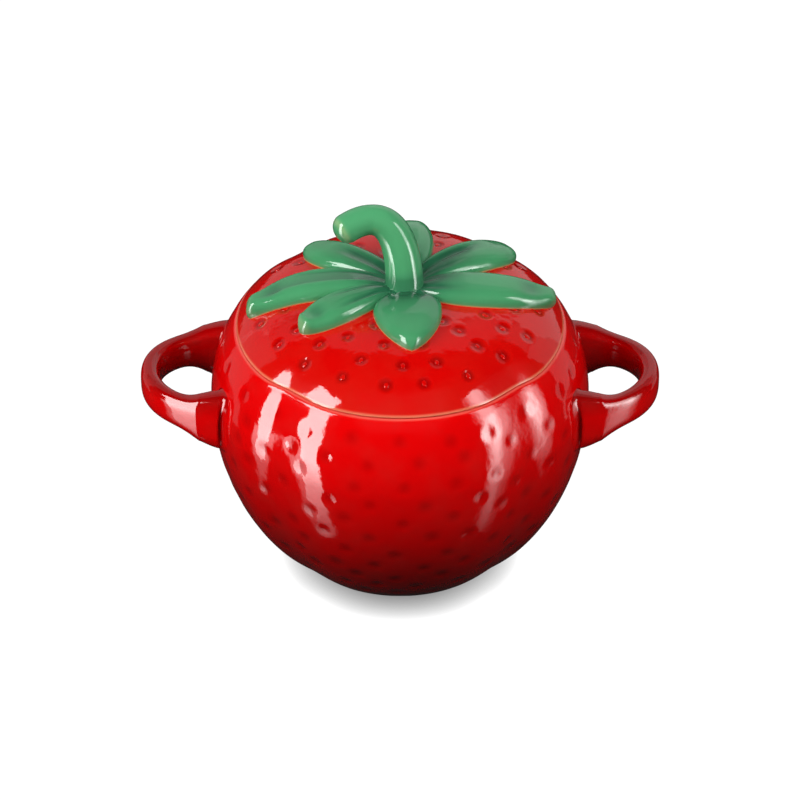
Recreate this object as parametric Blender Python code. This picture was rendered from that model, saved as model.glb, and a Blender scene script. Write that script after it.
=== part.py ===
"""A mini cocotte shaped like a strawberry, in glazed stoneware.

The bowl and the lid are two halves of one lobed fruit. The bowl has a loop handle on each side, and the
lid, which drops into the mouth with a locating flange, has a hooked stem as its knob and seven leaves.
Metres, +Z up, origin on the table under the middle of the foot, handles along X.
"""

import math

import bmesh
import bpy
import numpy as np
from mathutils import Vector

# The fruit, whose skin the bowl and the lid share
BELLY_RADIUS = 0.0521  # crest of the lobes at the widest level
BELLY_HEIGHT = 0.0555  # the widest level above the table
SEAM_HEIGHT = 0.0764  # flat rim of the bowl, which the lid rests on
LID_RISE = 0.0116  # top of the crown above the seam
LOWER_OVERRUN = 0.0045  # how far under the table the lower curve would meet the axis
LOWER_FULLNESS = 2.1  # of the curve below the belly, where 2 is an ellipse
CROWN_ROUNDNESS = 1.75  # how late the crown turns in from the belly
CROWN_FULLNESS = 4.3  # how flat the crown is on top
LOBE_TURN = math.radians(2)  # turn of the four lobes from the handles
FRONT_LOBE_HALF = math.radians(42)  # from the middle of the front or back lobe to its grooves
GROOVE_DEPTH = 0.0025  # between two lobes at the belly
GROOVE_WIDTH = math.radians(11)  # how far a groove's side reaches
GROOVE_CREASE = math.radians(0.7)  # half its round bottom
GROOVE_FADE = 1.5  # how fast the grooves run out towards foot and crown

# The seed pits, in staggered rows over the skin
PITS_AROUND = 24
PIT_ROW_PITCH = 0.0062  # along the skin from row to row
PIT_DEPTH = 0.0010  # at the belly, and less where the fruit is narrower
PIT_CLEARANCE = 0.0035  # bare skin beside the handles' roots, the seam and the foot

# The bowl
BOWL_WALL = 0.0055
FLOOR_THICKNESS = 0.0065
INSIDE_FULLNESS = 2.6  # how square the inside is between wall and floor
MOUTH_RADIUS = 0.0385
MOUTH_DEPTH = 0.0070  # straight throat below the rim
FOOT_RADIUS = 0.0230
FOOT_HEIGHT = 0.0020
FOOT_RECESS_RADIUS = 0.0170
FOOT_RECESS_DEPTH = 0.0012
EDGE_ROUND = 0.0009  # outer edges of rim, lid and foot

# The lid
LID_WALL = 0.0045
CROWN_CAP_RADIUS = 0.0040  # flat middle of the crown, under the stem
FLANGE_CLEARANCE = 0.0006  # between the flange and the mouth
FLANGE_DEPTH = 0.0045
FLANGE_WALL = 0.0032

# The handles
HANDLE_SPREAD = 0.0157  # middle of each arm from the handle's own middle
HANDLE_REACH = 0.0184  # middle of the strap at the tip, out from the arms' roots
HANDLE_LOOP_FULLNESS = 2.4  # of the loop in plan, where 2 is an ellipse
HANDLE_LEVEL = 0.0571  # middle of the strap's arms
HANDLE_TIP_RISE = 0.0011
HANDLE_ROOT_DROP = 0.0021
HANDLE_THICKNESS = 0.0062
HANDLE_ROOT_THICKNESS = 0.0078
HANDLE_HEIGHT = 0.0089
HANDLE_ROOT_HEIGHT = 0.0160
HANDLE_FLARE = 15  # how late the strap widens towards its roots
HANDLE_SQUARENESS = 2.8
HANDLE_FREE_ANGLE = math.radians(79)  # last section that stands clear of the skin, from the tip
HANDLE_ROOT_FILL = (1.0, 0.6, 0.25)  # sizes of the sections that cover the end on the skin

# The stem, a hook that bends over to -X and leans back a little
CALYX_OFFSET = 0.0012  # middle of stem and leaves from the lid's axis, to +X
STEM_ROOT_RADIUS = 0.0056
STEM_RADIUS = 0.0050
STEM_TIP_RADIUS = 0.0036
STEM_TAPER_END = 0.75  # share of the stem's course at which it is down to the tip's radius
STEM_TAPER_LATENESS = 1.6
STEM_TIP_BULGE = 0.0034  # how far the round end stands out
STEM_ROOT_FLARE = 0.0040  # height over which the root widens
STEM_UPRIGHT = 0.0192  # pull of the root, straight up
STEM_HOOK_PULL = (-0.0044, 0.0060, 0.0232)  # pull of the tip, up and back over the root
STEM_TIP = (-0.0166, 0.0020, 0.0179)  # middle of the tip, from the root on the crown

# The leaves
LEAF_LENGTH = 0.768 * BELLY_RADIUS  # the usual leaf, from the middle of the calyx
LEAF_WIDTH = 0.0150
LEAF_THICKNESS = 0.0045
LEAF_RIM = 0.0031  # height of the upright edge
LEAF_ROOT_SHARE = 0.75  # width at the root against the widest place
LEAF_TIP_ROUNDNESS = 2.2  # how late a leaf narrows from its widest place
LEAF_EDGE_FULLNESS = 4  # how late the top turns down to the edge
LEAF_FOLD = 0.0011  # depth of the crease along the middle
LEAF_FOLD_SHARE = 0.2  # half the crease, against half the leaf
LEAF_TIP_THINNING = 0.0012  # by how much it is thinner at the tip
LEAF_THINNING_LATENESS = 3
LEAF_ROUND_END = 0.985  # where the blunt tip ends, along the full outline

# Each leaf: its length and width against the usual leaf, its widest place along the length, how sharply it
# ends, where a half gives an ellipse, its direction in degrees counted from the front towards +X, by how many
# degrees its tip bends further round, and the direction of the border between it and the next leaf
LEAVES = {
    "leaf_front": (0.70, 1.28, 0.20, 0.75, 4, 0, 56),
    "leaf_right": (1.02, 0.93, 0.42, 0.55, 83, 12, 108.5),
    "leaf_back_right": (0.95, 0.90, 0.60, 0.45, 129, 0, 150),
    "leaf_back": (0.86, 0.90, 0.50, 0.50, 176, 0, 203),
    "leaf_back_left": (0.87, 0.80, 0.60, 0.50, 231, 0, 248),
    "leaf_left": (1.06, 0.88, 0.40, 0.55, 267, 7.5, 283),
    "leaf_front_left": (0.83, 0.82, 0.50, 0.55, 300, 3, 318),
}

# Gaps between fired pieces that rest on each other
SEAT_GAP = 0.0003

# Facets
COLUMNS_PER_PIT = 4
COLUMNS = PITS_AROUND * COLUMNS_PER_PIT
RINGS_PER_ROW = 2
PROFILE_STEPS = 400  # for measuring along the skin
NORMAL_TURN = math.radians(0.1)  # for measuring its slope
INSIDE_RINGS = 10
LID_INSIDE_RINGS = 6
HANDLE_SIDES = 16
HANDLE_STATIONS = 16
STEM_SIDES = 14
STEM_STATIONS = 14
LEAF_STATIONS = (0.0, 0.08, 0.2, 0.33, 0.46, 0.58, 0.7, 0.81, 0.9, 0.96, 1.0)
LEAF_ACROSS = (-1.0, -0.82, -0.5, -0.2, 0.0, 0.2, 0.5, 0.82, 1.0)


# The fruit's skin

def crown_rise():
    return SEAM_HEIGHT + LID_RISE - BELLY_HEIGHT


def lower_depth():
    return BELLY_HEIGHT + LOWER_OVERRUN


def profile_point(turn):
    """Crest radius and height of the skin. The turn goes from -90 degrees below, by 0 at the belly, to 90."""
    across = math.cos(turn)
    along = abs(math.sin(turn))
    if turn < 0:
        drop = lower_depth() * along ** (2 / LOWER_FULLNESS)
        return BELLY_RADIUS * across ** (2 / LOWER_FULLNESS), BELLY_HEIGHT - drop
    rise = crown_rise() * along ** (2 / CROWN_ROUNDNESS)
    return BELLY_RADIUS * across ** (2 / CROWN_FULLNESS), BELLY_HEIGHT + rise


def profile_turn(height):
    """The turn at which the skin has this height."""
    rise = height - BELLY_HEIGHT
    if rise < 0:
        return -math.asin((-rise / lower_depth()) ** (LOWER_FULLNESS / 2))
    return math.asin((rise / crown_rise()) ** (CROWN_ROUNDNESS / 2))


def profile_rows(low_turn, high_turn):
    """Turns of the rings between two turns, spaced evenly along the skin for the rows of pits."""
    turns = np.linspace(low_turn, high_turn, PROFILE_STEPS + 1)
    points = np.array([profile_point(turn) for turn in turns])
    steps = np.linalg.norm(np.diff(points, axis=0), axis=1)
    lengths = np.concatenate(([0.0], np.cumsum(steps)))
    count = RINGS_PER_ROW * round(lengths[-1] / PIT_ROW_PITCH)
    return np.interp(np.linspace(0.0, lengths[-1], count + 1), lengths, turns)


def crest_radius(height):
    """Radius of the lobes' crests at a height."""
    return profile_point(profile_turn(height))[0]


def crown_height(crest):
    """Height of the crown where its lobes have this crest radius."""
    share = min(1.0, crest / BELLY_RADIUS) ** CROWN_FULLNESS
    return BELLY_HEIGHT + crown_rise() * (1 - share) ** (1 / CROWN_ROUNDNESS)


def groove_depth(azimuth, crest):
    """Depth of the grooves at an azimuth, on the level whose lobes have this crest radius."""
    off_middle = (azimuth - LOBE_TURN) % math.pi - math.pi / 2
    off_groove = abs(off_middle) - FRONT_LOBE_HALF
    away = (math.hypot(off_groove, GROOVE_CREASE) - GROOVE_CREASE) / GROOVE_WIDTH
    across = math.exp(-away * (1.1 + 0.7 * away))
    return GROOVE_DEPTH * across * (crest / BELLY_RADIUS) ** GROOVE_FADE


def skin_radius(azimuth, height):
    crest = crest_radius(height)
    return crest - groove_depth(azimuth, crest)


def crown_point(x, y):
    """The point of the lid's skin over a place in plan, pits left out."""
    radius = math.hypot(x, y)
    azimuth = math.atan2(y, x)
    crest = radius
    for _ in range(4):
        crest = radius + groove_depth(azimuth, crest)
    return Vector((x, y, crown_height(crest)))


def crown_normal(x, y):
    step = SEAT_GAP
    across = crown_point(x + step, y) - crown_point(x - step, y)
    along = crown_point(x, y + step) - crown_point(x, y - step)
    return across.cross(along).normalized()


# Solids from rings of points

def loft(name, rings, parent, material):
    """A closed solid through rings of equally many points, with its two end rings filled.

    A quad is split from its first corner. That corner alternates, so eight triangles meet in each pit.
    """
    mesh = bpy.data.meshes.new(name)
    shape = bmesh.new()
    loops = [[shape.verts.new(point - parent.location) for point in ring] for ring in rings]
    for i, (lower, upper) in enumerate(zip(loops, loops[1:])):
        for k in range(len(lower)):
            after = (k + 1) % len(lower)
            corners = [lower[k], lower[after], upper[after], upper[k]]
            first = (i + k) % 2
            shape.faces.new(corners[first:] + corners[:first])
    for end in (loops[0], loops[-1]):
        shape.faces.new(end)
    bmesh.ops.recalc_face_normals(shape, faces=shape.faces)
    shape.to_mesh(mesh)
    shape.free()
    mesh.shade_smooth()
    mesh.set_sharp_from_angle(angle=math.radians(40))
    mesh.materials.append(material)
    return placed(name, mesh, parent)


def placed(name, mesh, parent):
    piece = bpy.data.objects.new(name, mesh)
    piece.parent = parent
    bpy.context.collection.objects.link(piece)
    return piece


def level_ring(radius_at, height):
    """A level ring about the axis, with its radius given for each azimuth."""
    azimuths = [2 * math.pi * k / COLUMNS for k in range(COLUMNS)]
    return [Vector((radius_at(a) * math.cos(a), radius_at(a) * math.sin(a), height)) for a in azimuths]


def round_ring(radius, height):
    return level_ring(lambda azimuth: radius, height)


def skin_ring(height, inset=0.0):
    """A level ring on the skin, or set in from it."""
    return level_ring(lambda azimuth: skin_radius(azimuth, height) - inset, height)


def pit_depth(off_handles, height, crest):
    """Depth of a pit, or 0 where the skin stays bare. off_handles is how far off the handles' plane it is."""
    handle_half = HANDLE_SPREAD + HANDLE_ROOT_THICKNESS / 2 + PIT_CLEARANCE
    beside_handle = abs(height - HANDLE_LEVEL) < HANDLE_ROOT_HEIGHT / 2 + PIT_CLEARANCE
    if abs(off_handles) < handle_half and beside_handle:
        return 0.0
    if abs(height - SEAM_HEIGHT) < PIT_CLEARANCE or height < FOOT_HEIGHT + PIT_CLEARANCE:
        return 0.0
    return PIT_DEPTH * crest / BELLY_RADIUS


def pitted_ring(turn, number):
    """A ring on the skin. Every second ring, by its number in the solid, has the middles of a row of pits."""
    crest, height = profile_point(turn)
    crest_below, height_below = profile_point(turn - NORMAL_TURN)
    outward = Vector((height - height_below, crest_below - crest)).normalized()
    ring = []
    for k in range(COLUMNS):
        azimuth = 2 * math.pi * k / COLUMNS
        depth = 0.0
        if number % RINGS_PER_ROW == 0 and (k + number) % COLUMNS_PER_PIT == 0:
            depth = pit_depth(crest * math.sin(azimuth), height, crest)
        radius = crest - groove_depth(azimuth, crest) - depth * outward.x
        level = height - depth * outward.y
        ring.append(Vector((radius * math.cos(azimuth), radius * math.sin(azimuth), level)))
    return ring


def seam_edge_rings(edge, away):
    """The rounded edge beside the seam, from the skin in to the flat face; away is the side of the skin."""
    rings = []
    for turn in (0, 45, 90):
        angle = math.radians(turn)
        level = edge + away * EDGE_ROUND * (1 - math.sin(angle))
        rings.append(skin_ring(level, EDGE_ROUND * (1 - math.cos(angle))))
    return rings


# The bowl

def inside_radius(height):
    """Radius of the smooth inside: a full bowl up to the belly, then the crown's own curve."""
    if height >= BELLY_HEIGHT:
        return crest_radius(height) - BOWL_WALL
    share = (BELLY_HEIGHT - height) / (BELLY_HEIGHT - FLOOR_THICKNESS)
    return (BELLY_RADIUS - BOWL_WALL) * max(0.0, 1 - share**INSIDE_FULLNESS) ** (1 / INSIDE_FULLNESS)


def make_bowl(parent, material):
    rings = [
        round_ring(FOOT_RECESS_RADIUS, FOOT_RECESS_DEPTH),
        round_ring(FOOT_RECESS_RADIUS, 0.0),
        round_ring(FOOT_RADIUS - EDGE_ROUND, 0.0),
        round_ring(FOOT_RADIUS, EDGE_ROUND),
        round_ring(FOOT_RADIUS, FOOT_HEIGHT),
    ]
    for turn in profile_rows(profile_turn(FOOT_HEIGHT), profile_turn(SEAM_HEIGHT - EDGE_ROUND))[:-1]:
        rings.append(pitted_ring(turn, len(rings)))
    rings += seam_edge_rings(SEAM_HEIGHT, -1)
    rings += [
        round_ring(MOUTH_RADIUS + EDGE_ROUND, SEAM_HEIGHT),
        round_ring(MOUTH_RADIUS, SEAM_HEIGHT - EDGE_ROUND),
        round_ring(MOUTH_RADIUS, SEAM_HEIGHT - MOUTH_DEPTH),
    ]
    shoulder = SEAM_HEIGHT - MOUTH_DEPTH - BOWL_WALL
    for step in range(INSIDE_RINGS):
        share = math.sin(math.pi / 2 * step / INSIDE_RINGS)
        height = shoulder + (FLOOR_THICKNESS - shoulder) * share
        rings.append(round_ring(inside_radius(height), height))
    loft("pot_bowl", rings, parent, material)


# The handles

def seat_x(y, height, gap):
    """How far out the skin lies on the handle's side at a place given by y and height, with a gap added."""
    x = BELLY_RADIUS
    for _ in range(6):
        radius = skin_radius(math.atan2(y, x), height) + gap
        x = math.sqrt(max(0.0, radius * radius - y * y))
    return x


def strap_section(angle, size=1.0):
    """The strap's rounded section where the loop is at this angle, with the tip at 0."""
    out = abs(math.cos(angle))
    side = abs(math.sin(angle))
    along = 2 / HANDLE_LOOP_FULLNESS
    root_x = math.sqrt(BELLY_RADIUS**2 - HANDLE_SPREAD**2)
    flare = side**HANDLE_FLARE
    middle = Vector((
        root_x + HANDLE_REACH * out**along,
        math.copysign(HANDLE_SPREAD * side**along, angle),
        HANDLE_LEVEL + HANDLE_TIP_RISE * out**along - HANDLE_ROOT_DROP * flare,
    ))
    facing_out = HANDLE_SPREAD * out ** (2 - along)
    facing_side = math.copysign(HANDLE_REACH * side ** (2 - along), angle)
    outward = Vector((facing_out, facing_side, 0.0)).normalized()
    thickness = HANDLE_THICKNESS + (HANDLE_ROOT_THICKNESS - HANDLE_THICKNESS) * flare
    height = HANDLE_HEIGHT + (HANDLE_ROOT_HEIGHT - HANDLE_HEIGHT) * flare
    section = []
    for k in range(HANDLE_SIDES):
        turn = 2 * math.pi * (k + 0.5) / HANDLE_SIDES
        across = math.copysign(abs(math.cos(turn)) ** (2 / HANDLE_SQUARENESS), math.cos(turn))
        up = math.copysign(abs(math.sin(turn)) ** (2 / HANDLE_SQUARENESS), math.sin(turn))
        offset = outward * (across * thickness / 2) + Vector((0.0, 0.0, up * height / 2))
        section.append(middle + offset * size)
    return section


def root_sections(side):
    """The strap's end on one arm, from its rim to near its middle, laid on the skin with a gap."""
    sections = []
    for size in HANDLE_ROOT_FILL:
        section = strap_section(side * math.pi / 2, size)
        sections.append([Vector((seat_x(p.y, p.z, SEAT_GAP), p.y, p.z)) for p in section])
    return sections


def make_handles(parent, material):
    rings = root_sections(-1)[::-1]
    for station in range(HANDLE_STATIONS + 1):
        rings.append(strap_section(HANDLE_FREE_ANGLE * (2 * station / HANDLE_STATIONS - 1)))
    rings += root_sections(1)
    right = loft("handle_right", rings, parent, material)
    left = placed("handle_left", right.data, parent)
    left.rotation_euler.z = math.pi


# The lid

def make_lid_shell(parent, material):
    edge = SEAM_HEIGHT + SEAT_GAP
    cap_turn = math.acos((CROWN_CAP_RADIUS / BELLY_RADIUS) ** (CROWN_FULLNESS / 2))
    rings = []
    for turn in profile_rows(profile_turn(edge + EDGE_ROUND), cap_turn)[:0:-1]:
        rings.append(pitted_ring(turn, len(rings)))
    rings += seam_edge_rings(edge, 1)
    flange_outer = MOUTH_RADIUS - FLANGE_CLEARANCE
    flange_inner = flange_outer - FLANGE_WALL
    flange_end = SEAM_HEIGHT - FLANGE_DEPTH
    rings += [
        round_ring(flange_outer, edge),
        round_ring(flange_outer, flange_end + EDGE_ROUND),
        round_ring(flange_outer - EDGE_ROUND, flange_end),
        round_ring(flange_inner, flange_end),
    ]
    for step in range(LID_INSIDE_RINGS):
        radius = flange_inner * math.cos(math.pi / 2 * step / LID_INSIDE_RINGS)
        rings.append(round_ring(radius, crown_height(radius) - LID_WALL))
    loft("lid_shell", rings, parent, material)


# The stem

def stem_ring(middle, ahead, radius):
    up = ahead.cross(Vector((0.0, 1.0, 0.0))).normalized()
    side = up.cross(ahead)
    turns = [2 * math.pi * k / STEM_SIDES for k in range(STEM_SIDES)]
    return [middle + (side * math.cos(a) + up * math.sin(a)) * radius for a in turns]


def make_stem(parent, material):
    foot = Vector((CALYX_OFFSET, 0.0, crown_height(0.0) + SEAT_GAP))
    tip = foot + Vector(STEM_TIP)
    pull_up = foot + Vector((0.0, 0.0, STEM_UPRIGHT))
    pull_over = foot + Vector(STEM_HOOK_PULL)
    rings = []
    for station in range(STEM_STATIONS + 1):
        t = station / STEM_STATIONS
        u = 1 - t
        middle = foot * u**3 + pull_up * (3 * u * u * t) + pull_over * (3 * u * t * t) + tip * t**3
        ahead = (pull_up - foot) * (u * u) + (pull_over - pull_up) * (2 * u * t) + (tip - pull_over) * (t * t)
        flare = math.exp(-(middle.z - foot.z) / STEM_ROOT_FLARE)
        taper = (STEM_TIP_RADIUS - STEM_RADIUS) * min(1.0, t / STEM_TAPER_END) ** STEM_TAPER_LATENESS
        widening = (STEM_ROOT_RADIUS - STEM_RADIUS) * flare
        rings.append(stem_ring(middle, ahead.normalized(), STEM_RADIUS + taper + widening))
    tip_ahead = (tip - pull_over).normalized()
    for turn in (25, 50, 72):
        angle = math.radians(turn)
        middle = tip + tip_ahead * (STEM_TIP_BULGE * math.sin(angle))
        rings.append(stem_ring(middle, tip_ahead, STEM_TIP_RADIUS * math.cos(angle)))
    loft("stem_knob", rings, parent, material)


# The leaves

def leaf_half_width(share, width, widest, sharpness):
    """Half the width at a share of the leaf's length: a full root, a widest place and a blunt tip."""
    if share < widest:
        back = (widest - share) / widest
        return width / 2 * (1 - (1 - LEAF_ROOT_SHARE) * back**2)
    ahead = (share - widest) / (1 - widest)
    return width / 2 * max(0.0, 1 - ahead**LEAF_TIP_ROUNDNESS) ** sharpness


def leaf_section(distance, share, half_width, direction, borders):
    """One closed section across a leaf, within the directions of its two borders."""
    ahead = Vector((math.sin(direction), -math.cos(direction), 0.0))
    right = Vector((math.cos(direction), math.sin(direction), 0.0))
    limits = []
    for border in borders:
        room = abs(border - direction)
        limits.append(half_width)
        if room < math.pi / 2:
            limits[-1] = min(half_width, distance * math.tan(room) - SEAT_GAP / 2 / math.cos(room))
    under = []
    top = []
    for v in LEAF_ACROSS:
        across = v * (limits[1] if v > 0 else limits[0])
        place = ahead * distance + right * across
        place.x += CALYX_OFFSET
        seat = crown_point(place.x, place.y)
        normal = crown_normal(place.x, place.y)
        swell = LEAF_RIM + (LEAF_THICKNESS - LEAF_RIM) * (1 - abs(v) ** LEAF_EDGE_FULLNESS)
        swell -= LEAF_TIP_THINNING * share**LEAF_THINNING_LATENESS
        fold = LEAF_FOLD * math.exp(-((v / LEAF_FOLD_SHARE) ** 2)) * math.sin(math.pi * share) ** 0.5
        under.append(seat + normal * SEAT_GAP)
        top.append(seat + normal * (SEAT_GAP + swell - fold))
    return under + top[::-1]


def make_leaves(parent, material):
    names = list(LEAVES)
    root = STEM_ROOT_RADIUS + SEAT_GAP
    for i, name in enumerate(names):
        length_share, width_share, widest, sharpness, degrees, bend, border_after = LEAVES[name]
        border_before = LEAVES[names[i - 1]][-1] - (360 if i == 0 else 0)
        borders = (math.radians(border_before), math.radians(border_after))
        rings = []
        for station in LEAF_STATIONS:
            share = station * LEAF_ROUND_END
            distance = root + (LEAF_LENGTH * length_share - root) * share
            half_width = leaf_half_width(share, LEAF_WIDTH * width_share, widest, sharpness)
            direction = math.radians(degrees + bend * share**2)
            rings.append(leaf_section(distance, share, half_width, direction, borders))
        loft(name, rings, parent, material)


# Finishes and assembly

def glaze(name, colour, roughness):
    material = bpy.data.materials.new(name)
    material.use_nodes = True
    shader = material.node_tree.nodes["Principled BSDF"]
    shader.inputs["Base Color"].default_value = colour
    shader.inputs["Roughness"].default_value = roughness
    shader.inputs["Metallic"].default_value = 0.0
    return material


def body_origin(name, height):
    """An empty on the axis that a body's pieces are parented to."""
    origin = bpy.data.objects.new(name, None)
    origin.location = (0.0, 0.0, height)
    bpy.context.collection.objects.link(origin)
    return origin


for old in list(bpy.data.objects):
    bpy.data.objects.remove(old)

pot = body_origin("pot", 0.0)
lid = body_origin("lid", SEAM_HEIGHT)
make_bowl(pot, glaze("bowl_red_glaze", (0.62, 0.006, 0.004, 1.0), 0.08))
make_handles(pot, glaze("handle_red_glaze", (0.62, 0.006, 0.004, 1.0), 0.08))
make_lid_shell(lid, glaze("lid_red_glaze", (0.70, 0.015, 0.006, 1.0), 0.08))
make_stem(lid, glaze("stem_green_glaze", (0.075, 0.33, 0.14, 1.0), 0.10))
make_leaves(lid, glaze("leaf_green_glaze", (0.065, 0.29, 0.13, 1.0), 0.10))
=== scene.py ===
import math
import random

import bpy
import numpy as np
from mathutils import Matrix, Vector


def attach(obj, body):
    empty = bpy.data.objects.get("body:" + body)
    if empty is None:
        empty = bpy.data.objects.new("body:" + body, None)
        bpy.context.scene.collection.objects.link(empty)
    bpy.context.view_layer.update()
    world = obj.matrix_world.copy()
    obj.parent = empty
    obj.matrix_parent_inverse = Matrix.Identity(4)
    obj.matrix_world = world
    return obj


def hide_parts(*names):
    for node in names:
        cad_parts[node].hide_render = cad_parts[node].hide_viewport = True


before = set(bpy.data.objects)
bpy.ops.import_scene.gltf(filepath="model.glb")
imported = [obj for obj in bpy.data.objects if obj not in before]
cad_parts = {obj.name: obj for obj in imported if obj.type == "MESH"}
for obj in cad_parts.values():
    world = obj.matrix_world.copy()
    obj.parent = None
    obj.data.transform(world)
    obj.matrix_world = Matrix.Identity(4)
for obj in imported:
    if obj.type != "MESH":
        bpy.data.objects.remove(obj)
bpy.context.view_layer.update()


# Camera
# The view is from the front, about 36 degrees above the table, through a long lens a metre away.

VIEW_ELEVATION = math.radians(35.55)
VIEW_DISTANCE = 1.0
VIEW_TARGET = Vector((0.0, 0.0, 0.0508))

camera_lens = bpy.data.cameras.new("Camera")
camera_lens.lens = 162.45
camera_lens.sensor_width = 36.0
camera = bpy.data.objects.new("Camera", camera_lens)
looking = Vector((0.0, math.cos(VIEW_ELEVATION), -math.sin(VIEW_ELEVATION)))
camera.location = VIEW_TARGET - looking * VIEW_DISTANCE
camera.rotation_euler = looking.to_track_quat("-Z", "Y").to_euler()
bpy.context.collection.objects.link(camera)
bpy.context.scene.camera = camera
bpy.context.scene.view_settings.view_transform = "Standard"


# Bowl
# The pot itself, slip-cast stoneware in the shape of a fruit: four lobes with soft grooves between them,
# and shallow seed pits all round. Its red glaze is sprayed on, bright round the belly and darker towards
# the foot, partly a sprayed gradient and partly painted shade; the pits are painted darker too, as pooled
# glaze and as shade.

BELLY_RADIUS = 0.0521
BELLY_HEIGHT = 0.0555
SEAM_HEIGHT = 0.0764
CROWN_RISE = 0.0325
LOWER_DEPTH = 0.0600
LOWER_FULLNESS = 2.1
CROWN_ROUNDNESS = 1.75
CROWN_FULLNESS = 4.3
LOBE_TURN = math.radians(1.2)
FRONT_LOBE_HALF = math.radians(44)
GROOVE_DEPTH = 0.0017
GROOVE_WIDTH = math.radians(13)
GROOVE_SIDE_WIDTH = math.radians(7.5)
GROOVE_FADE = 1.5
BOWL_WALL = 0.0055
FLOOR_THICKNESS = 0.0065
INSIDE_FULLNESS = 2.6
MOUTH_RADIUS = 0.0385
MOUTH_DEPTH = 0.0070
FOOT_RADIUS = 0.0230
FOOT_HEIGHT = 0.0020
FOOT_RECESS_RADIUS = 0.0170
FOOT_RECESS_DEPTH = 0.0012
FOOT_INNER_ROUND = 0.0006
EDGE_ROUND = 0.0005
# The red darkens towards the foot, partly a sprayed gradient and partly painted shade.
FOOT_DARKENING_FROM = 0.058
FOOT_DARKENING_OVER = 0.034
FOOT_DARKENING_MOST = 0.63
COLUMNS = 540
SKIN_RINGS = 122
AROUND = np.arange(COLUMNS) * (2 * math.pi / COLUMNS)


def skin_profile(turn):
    """Crest radius and height of the fruit's skin; turn is below 0 under the belly and above 0 over it."""
    turn = np.asarray(turn, float)
    across = np.maximum(np.cos(turn), 0.0)
    along = np.abs(np.sin(turn))
    under = turn < 0
    crest = BELLY_RADIUS * across ** np.where(under, 2 / LOWER_FULLNESS, 2 / CROWN_FULLNESS)
    drop = LOWER_DEPTH * along ** (2 / LOWER_FULLNESS)
    rise = CROWN_RISE * along ** (2 / CROWN_ROUNDNESS)
    return crest, BELLY_HEIGHT + np.where(under, -drop, rise)


def skin_turn(height):
    if height < BELLY_HEIGHT:
        return -math.asin(((BELLY_HEIGHT - height) / LOWER_DEPTH) ** (LOWER_FULLNESS / 2))
    return math.asin(((height - BELLY_HEIGHT) / CROWN_RISE) ** (CROWN_ROUNDNESS / 2))


def measured_turns(low, high, steps=4000):
    """Turns from low to high, with the length of skin from low to each."""
    turns = np.linspace(low, high, steps)
    crest, height = skin_profile(turns)
    lengths = np.cumsum(np.hypot(np.diff(crest), np.diff(height)))
    return turns, np.concatenate([[0.0], lengths])


def even_turns(low, high, count):
    turns, lengths = measured_turns(low, high)
    return np.interp(np.linspace(0.0, lengths[-1], count), lengths, turns)


def groove_depth(azimuth, crest):
    """Depth of the soft groove on either side of the front and the back lobe, tighter on the side lobes."""
    off_middle = (azimuth - LOBE_TURN) % math.pi - math.pi / 2
    off_groove = np.abs(off_middle) - FRONT_LOBE_HALF
    away = off_groove / np.where(off_groove < 0, GROOVE_WIDTH, GROOVE_SIDE_WIDTH)
    return GROOVE_DEPTH * np.exp(-(away**2)) * (crest / BELLY_RADIUS) ** GROOVE_FADE


def skin_radius(azimuth, height):
    crest, _ = skin_profile([skin_turn(h) for h in np.atleast_1d(height)])
    return crest - groove_depth(azimuth, crest)


def level_ring(radius, height):
    """A level ring of points about the axis; radius is one number, or one for each column."""
    radius = np.broadcast_to(radius, COLUMNS)
    heights = np.full(COLUMNS, float(height))
    return np.column_stack([radius * np.cos(AROUND), radius * np.sin(AROUND), heights])


def skin_rings(turns):
    crests, heights = skin_profile(turns)
    return [level_ring(crest - groove_depth(AROUND, crest), height) for crest, height in zip(crests, heights)]


def seam_edge_rings(edge, away, steps=7):
    """The rounded edge beside the seam, from the skin in to the flat face; away is the side of the skin."""
    rings = []
    for angle in np.linspace(0.0, math.pi / 2, steps):
        level = edge + away * EDGE_ROUND * (1 - math.sin(angle))
        rings.append(level_ring(skin_radius(AROUND, level) - EDGE_ROUND * (1 - math.cos(angle)), level))
    return rings


def arc_rings(radius, height, reach, start, end, steps=5):
    """Level rings round a bend of that reach about a corner's middle, between two angles in degrees."""
    angles = np.radians(np.linspace(start, end, steps))
    return [level_ring(radius + reach * math.cos(a), height + reach * math.sin(a)) for a in angles]


def closed_shell(name, rings, **ring_values):
    """A smooth closed mesh through rings of points; each further value becomes an attribute of its points."""
    count = len(rings[0])
    points = np.vstack([rings[0].mean(axis=0)[None], *rings, rings[-1].mean(axis=0)[None]])
    here = np.arange(count)
    after = (here + 1) % count
    first, last = 1, 1 + count * (len(rings) - 1)
    quads = [np.column_stack([r + here, r + after, r + count + after, r + count + here])
             for r in range(first, last, count)]
    quads = np.vstack(quads)
    start_fan = np.column_stack([np.zeros(count, int), first + after, first + here])
    end_fan = np.column_stack([np.full(count, len(points) - 1), last + here, last + after])
    fans = np.vstack([start_fan, end_fan])
    triangles = np.vstack([quads[:, :3], quads[:, [0, 2, 3]], fans])
    a, b, c = (points[triangles[:, i]] for i in range(3))
    if np.einsum("ij,ij->", a, np.cross(b, c)) < 0:
        quads, fans = quads[:, ::-1], fans[:, ::-1]
    mesh = bpy.data.meshes.new(name)
    mesh.from_pydata(points.tolist(), [], quads.tolist() + fans.tolist())
    mesh.shade_smooth()
    for label, values in ring_values.items():
        rows = [np.broadcast_to(value, count) for value in values]
        flat = np.concatenate([[rows[0].mean()], *rows, [rows[-1].mean()]])
        mesh.attributes.new(label, "FLOAT", "POINT").data.foreach_set("value", flat.astype(np.float32))
    piece = bpy.data.objects.new(name, mesh)
    bpy.context.collection.objects.link(piece)
    return piece


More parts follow.
